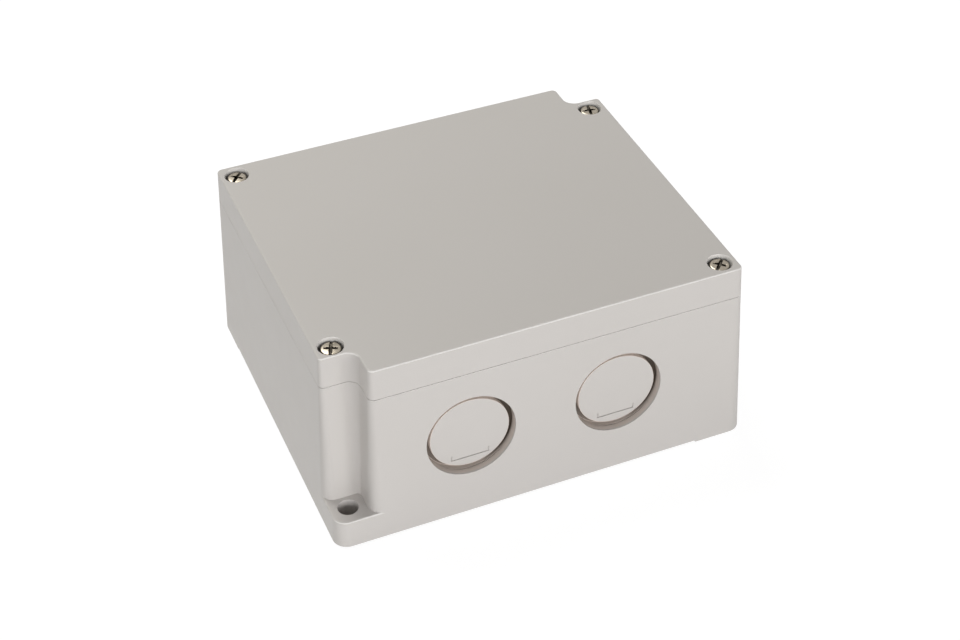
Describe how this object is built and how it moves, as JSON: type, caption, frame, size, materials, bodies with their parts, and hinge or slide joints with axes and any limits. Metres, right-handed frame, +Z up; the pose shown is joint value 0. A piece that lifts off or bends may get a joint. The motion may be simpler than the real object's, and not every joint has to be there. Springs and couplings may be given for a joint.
{
  "type": "junction box",
  "caption": "Light grey moulded junction box with screwed lid, notched corners with wall-fixing feet, round cable knockouts and a rail of screw terminals inside.",
  "frame": {"origin": "centre of the footprint, on the plane that the feet stand on", "axes": "+X along the front wall with its knockouts, to the right; +Y to the back; +Z up out of the lid"},
  "size_m": [0.1936, 0.1682, 0.09],
  "materials": {
    "housing_plastic": "fine moulded texture",
    "seal_rubber": "foamed sealing cord",
    "washer_rubber": "black sealing washer",
    "plated_screw_steel": "bright nickel plating",
    "insert_brass": "turned",
    "rail_steel": "zinc plated and passivated",
    "rail_screw_steel": "zinc plated",
    "bar_copper": "tinned copper, bright",
    "cage_steel": "zinc plated",
    "clamp_screw_steel": "zinc plated",
    "earth_polyamide": "green with yellow edges",
    "bracket_polyamide": "dark grey polyamide",
    "terminal_polyamide": "grey polyamide"
  },
  "bodies": {
    "base": {"base_housing": "housing_plastic", "threaded_inserts": "insert_brass", "mounting_rail": "rail_steel", "rail_screws": "rail_screw_steel", "end_plate": "terminal_polyamide", "end_bracket_left": "bracket_polyamide", "end_bracket_right": "bracket_polyamide", "terminal_1_housing": "terminal_polyamide", "terminal_1_current_bar": "bar_copper", "terminal_2_housing": "terminal_polyamide", "terminal_2_current_bar": "bar_copper", "terminal_3_housing": "terminal_polyamide", "terminal_3_current_bar": "bar_copper", "terminal_4_housing": "terminal_polyamide", "terminal_4_current_bar": "bar_copper", "terminal_5_housing": "terminal_polyamide", "terminal_5_current_bar": "bar_copper", "earth_terminal_housing": "earth_polyamide", "earth_terminal_current_bar": "bar_copper"},
    "lid": {"lid": "housing_plastic", "lid_gasket": "seal_rubber"},
    "screw_washer_front_left": {"screw_washer_front_left": "washer_rubber"},
    "lid_screw_front_left": {"lid_screw_front_left": "plated_screw_steel"},
    "screw_washer_front_right": {"screw_washer_front_right": "washer_rubber"},
    "lid_screw_front_right": {"lid_screw_front_right": "plated_screw_steel"},
    "screw_washer_back_right": {"screw_washer_back_right": "washer_rubber"},
    "lid_screw_back_right": {"lid_screw_back_right": "plated_screw_steel"},
    "screw_washer_back_left": {"screw_washer_back_left": "washer_rubber"},
    "lid_screw_back_left": {"lid_screw_back_left": "plated_screw_steel"},
    "terminal_1_clamp_cage_front": {"terminal_1_clamp_cage_front": "cage_steel"},
    "terminal_1_clamp_screw_front": {"terminal_1_clamp_screw_front": "clamp_screw_steel"},
    "terminal_1_clamp_cage_back": {"terminal_1_clamp_cage_back": "cage_steel"},
    "terminal_1_clamp_screw_back": {"terminal_1_clamp_screw_back": "clamp_screw_steel"},
    "terminal_2_clamp_cage_front": {"terminal_2_clamp_cage_front": "cage_steel"},
    "terminal_2_clamp_screw_front": {"terminal_2_clamp_screw_front": "clamp_screw_steel"},
    "terminal_2_clamp_cage_back": {"terminal_2_clamp_cage_back": "cage_steel"},
    "terminal_2_clamp_screw_back": {"terminal_2_clamp_screw_back": "clamp_screw_steel"},
    "terminal_3_clamp_cage_front": {"terminal_3_clamp_cage_front": "cage_steel"},
    "terminal_3_clamp_screw_front": {"terminal_3_clamp_screw_front": "clamp_screw_steel"},
    "terminal_3_clamp_cage_back": {"terminal_3_clamp_cage_back": "cage_steel"},
    "terminal_3_clamp_screw_back": {"terminal_3_clamp_screw_back": "clamp_screw_steel"},
    "terminal_4_clamp_cage_front": {"terminal_4_clamp_cage_front": "cage_steel"},
    "terminal_4_clamp_screw_front": {"terminal_4_clamp_screw_front": "clamp_screw_steel"},
    "terminal_4_clamp_cage_back": {"terminal_4_clamp_cage_back": "cage_steel"},
    "terminal_4_clamp_screw_back": {"terminal_4_clamp_screw_back": "clamp_screw_steel"},
    "terminal_5_clamp_cage_front": {"terminal_5_clamp_cage_front": "cage_steel"},
    "terminal_5_clamp_screw_front": {"terminal_5_clamp_screw_front": "clamp_screw_steel"},
    "terminal_5_clamp_cage_back": {"terminal_5_clamp_cage_back": "cage_steel"},
    "terminal_5_clamp_screw_back": {"terminal_5_clamp_screw_back": "clamp_screw_steel"},
    "earth_terminal_clamp_cage_front": {"earth_terminal_clamp_cage_front": "cage_steel"},
    "earth_terminal_clamp_screw_front": {"earth_terminal_clamp_screw_front": "clamp_screw_steel"},
    "earth_terminal_clamp_cage_back": {"earth_terminal_clamp_cage_back": "cage_steel"},
    "earth_terminal_clamp_screw_back": {"earth_terminal_clamp_screw_back": "clamp_screw_steel"}
  },
  "joints": [
    {"name": "lid_lift", "type": "slide", "parent": "base", "child": "lid", "axis": [0, 0, 1], "range_m": [0, 0.08]},
    {"name": "lid_screw_front_left_rise", "type": "slide", "parent": "lid", "child": "screw_washer_front_left", "axis": [0, 0, 1], "range_m": [0, 0.0088]},
    {"name": "lid_screw_front_left_turn", "type": "hinge", "parent": "screw_washer_front_left", "child": "lid_screw_front_left", "pos_m": [-0.08505, -0.05805, 0.086], "axis": [0, 0, 1], "range_deg": [0, 3961]},
    {"name": "lid_screw_front_right_rise", "type": "slide", "parent": "lid", "child": "screw_washer_front_right", "axis": [0, 0, 1], "range_m": [0, 0.0088]},
    {"name": "lid_screw_front_right_turn", "type": "hinge", "parent": "screw_washer_front_right", "child": "lid_screw_front_right", "pos_m": [0.08505, -0.07235, 0.086], "axis": [0, 0, 1], "range_deg": [0, 3961]},
    {"name": "lid_screw_back_right_rise", "type": "slide", "parent": "lid", "child": "screw_washer_back_right", "axis": [0, 0, 1], "range_m": [0, 0.0088]},
    {"name": "lid_screw_back_right_turn", "type": "hinge", "parent": "screw_washer_back_right", "child": "lid_screw_back_right", "pos_m": [0.08505, 0.05805, 0.086], "axis": [0, 0, 1], "range_deg": [0, 3961]},
    {"name": "lid_screw_back_left_rise", "type": "slide", "parent": "lid", "child": "screw_washer_back_left", "axis": [0, 0, 1], "range_m": [0, 0.0088]},
    {"name": "lid_screw_back_left_turn", "type": "hinge", "parent": "screw_washer_back_left", "child": "lid_screw_back_left", "pos_m": [-0.08505, 0.07235, 0.086], "axis": [0, 0, 1], "range_deg": [0, 3961]},
    {"name": "terminal_1_clamp_front_turn", "type": "hinge", "parent": "base", "child": "terminal_1_clamp_screw_front", "pos_m": [-0.02985, -0.0142, 0.045], "axis": [0, 0, -1], "range_deg": [0, 2161]},
    {"name": "terminal_1_clamp_front_rise", "type": "slide", "parent": "base", "child": "terminal_1_clamp_cage_front", "axis": [0, 0, 1], "range_m": [0, 0.0048]},
    {"name": "terminal_1_clamp_back_turn", "type": "hinge", "parent": "base", "child": "terminal_1_clamp_screw_back", "pos_m": [-0.02985, 0.0142, 0.045], "axis": [0, 0, -1], "range_deg": [0, 2161]},
    {"name": "terminal_1_clamp_back_rise", "type": "slide", "parent": "base", "child": "terminal_1_clamp_cage_back", "axis": [0, 0, 1], "range_m": [0, 0.0048]},
    {"name": "terminal_2_clamp_front_turn", "type": "hinge", "parent": "base", "child": "terminal_2_clamp_screw_front", "pos_m": [-0.01785, -0.0142, 0.045], "axis": [0, 0, -1], "range_deg": [0, 2161]},
    {"name": "terminal_2_clamp_front_rise", "type": "slide", "parent": "base", "child": "terminal_2_clamp_cage_front", "axis": [0, 0, 1], "range_m": [0, 0.0048]},
    {"name": "terminal_2_clamp_back_turn", "type": "hinge", "parent": "base", "child": "terminal_2_clamp_screw_back", "pos_m": [-0.01785, 0.0142, 0.045], "axis": [0, 0, -1], "range_deg": [0, 2161]},
    {"name": "terminal_2_clamp_back_rise", "type": "slide", "parent": "base", "child": "terminal_2_clamp_cage_back", "axis": [0, 0, 1], "range_m": [0, 0.0048]},
    {"name": "terminal_3_clamp_front_turn", "type": "hinge", "parent": "base", "child": "terminal_3_clamp_screw_front", "pos_m": [-0.00585, -0.0142, 0.045], "axis": [0, 0, -1], "range_deg": [0, 2161]},
    {"name": "terminal_3_clamp_front_rise", "type": "slide", "parent": "base", "child": "terminal_3_clamp_cage_front", "axis": [0, 0, 1], "range_m": [0, 0.0048]},
    {"name": "terminal_3_clamp_back_turn", "type": "hinge", "parent": "base", "child": "terminal_3_clamp_screw_back", "pos_m": [-0.00585, 0.0142, 0.045], "axis": [0, 0, -1], "range_deg": [0, 2161]},
    {"name": "terminal_3_clamp_back_rise", "type": "slide", "parent": "base", "child": "terminal_3_clamp_cage_back", "axis": [0, 0, 1], "range_m": [0, 0.0048]},
    {"name": "terminal_4_clamp_front_turn", "type": "hinge", "parent": "base", "child": "terminal_4_clamp_screw_front", "pos_m": [0.00615, -0.0142, 0.045], "axis": [0, 0, -1], "range_deg": [0, 2161]},
    {"name": "terminal_4_clamp_front_rise", "type": "slide", "parent": "base", "child": "terminal_4_clamp_cage_front", "axis": [0, 0, 1], "range_m": [0, 0.0048]},
    {"name": "terminal_4_clamp_back_turn", "type": "hinge", "parent": "base", "child": "terminal_4_clamp_screw_back", "pos_m": [0.00615, 0.0142, 0.045], "axis": [0, 0, -1], "range_deg": [0, 2161]},
    {"name": "terminal_4_clamp_back_rise", "type": "slide", "parent": "base", "child": "terminal_4_clamp_cage_back", "axis": [0, 0, 1], "range_m": [0, 0.0048]},
    {"name": "terminal_5_clamp_front_turn", "type": "hinge", "parent": "base", "child": "terminal_5_clamp_screw_front", "pos_m": [0.01815, -0.0142, 0.045], "axis": [0, 0, -1], "range_deg": [0, 2161]},
    {"name": "terminal_5_clamp_front_rise", "type": "slide", "parent": "base", "child": "terminal_5_clamp_cage_front", "axis": [0, 0, 1], "range_m": [0, 0.0048]},
    {"name": "terminal_5_clamp_back_turn", "type": "hinge", "parent": "base", "child": "terminal_5_clamp_screw_back", "pos_m": [0.01815, 0.0142, 0.045], "axis": [0, 0, -1], "range_deg": [0, 2161]},
    {"name": "terminal_5_clamp_back_rise", "type": "slide", "parent": "base", "child": "terminal_5_clamp_cage_back", "axis": [0, 0, 1], "range_m": [0, 0.0048]},
    {"name": "earth_terminal_clamp_front_turn", "type": "hinge", "parent": "base", "child": "earth_terminal_clamp_screw_front", "pos_m": [0.03015, -0.0142, 0.045], "axis": [0, 0, -1], "range_deg": [0, 2161]},
    {"name": "earth_terminal_clamp_front_rise", "type": "slide", "parent": "base", "child": "earth_terminal_clamp_cage_front", "axis": [0, 0, 1], "range_m": [0, 0.0048]},
    {"name": "earth_terminal_clamp_back_turn", "type": "hinge", "parent": "base", "child": "earth_terminal_clamp_screw_back", "pos_m": [0.03015, 0.0142, 0.045], "axis": [0, 0, -1], "range_deg": [0, 2161]},
    {"name": "earth_terminal_clamp_back_rise", "type": "slide", "parent": "base", "child": "earth_terminal_clamp_cage_back", "axis": [0, 0, 1], "range_m": [0, 0.0048]}
  ],
  "couplings": [
    {"joint": "lid_screw_front_left_turn", "follows": "lid_screw_front_left_rise", "rad_per_m": 7854},
    {"joint": "lid_screw_front_right_turn", "follows": "lid_screw_front_right_rise", "rad_per_m": 7854},
    {"joint": "lid_screw_back_right_turn", "follows": "lid_screw_back_right_rise", "rad_per_m": 7854},
    {"joint": "lid_screw_back_left_turn", "follows": "lid_screw_back_left_rise", "rad_per_m": 7854},
    {"joint": "terminal_1_clamp_front_turn", "follows": "terminal_1_clamp_front_rise", "rad_per_m": 7854},
    {"joint": "terminal_1_clamp_back_turn", "follows": "terminal_1_clamp_back_rise", "rad_per_m": 7854},
    {"joint": "terminal_2_clamp_front_turn", "follows": "terminal_2_clamp_front_rise", "rad_per_m": 7854},
    {"joint": "terminal_2_clamp_back_turn", "follows": "terminal_2_clamp_back_rise", "rad_per_m": 7854},
    {"joint": "terminal_3_clamp_front_turn", "follows": "terminal_3_clamp_front_rise", "rad_per_m": 7854},
    {"joint": "terminal_3_clamp_back_turn", "follows": "terminal_3_clamp_back_rise", "rad_per_m": 7854},
    {"joint": "terminal_4_clamp_front_turn", "follows": "terminal_4_clamp_front_rise", "rad_per_m": 7854},
    {"joint": "terminal_4_clamp_back_turn", "follows": "terminal_4_clamp_back_rise", "rad_per_m": 7854},
    {"joint": "terminal_5_clamp_front_turn", "follows": "terminal_5_clamp_front_rise", "rad_per_m": 7854},
    {"joint": "terminal_5_clamp_back_turn", "follows": "terminal_5_clamp_back_rise", "rad_per_m": 7854},
    {"joint": "earth_terminal_clamp_front_turn", "follows": "earth_terminal_clamp_front_rise", "rad_per_m": 7854},
    {"joint": "earth_terminal_clamp_back_turn", "follows": "earth_terminal_clamp_back_rise", "rad_per_m": 7854}
  ]
}
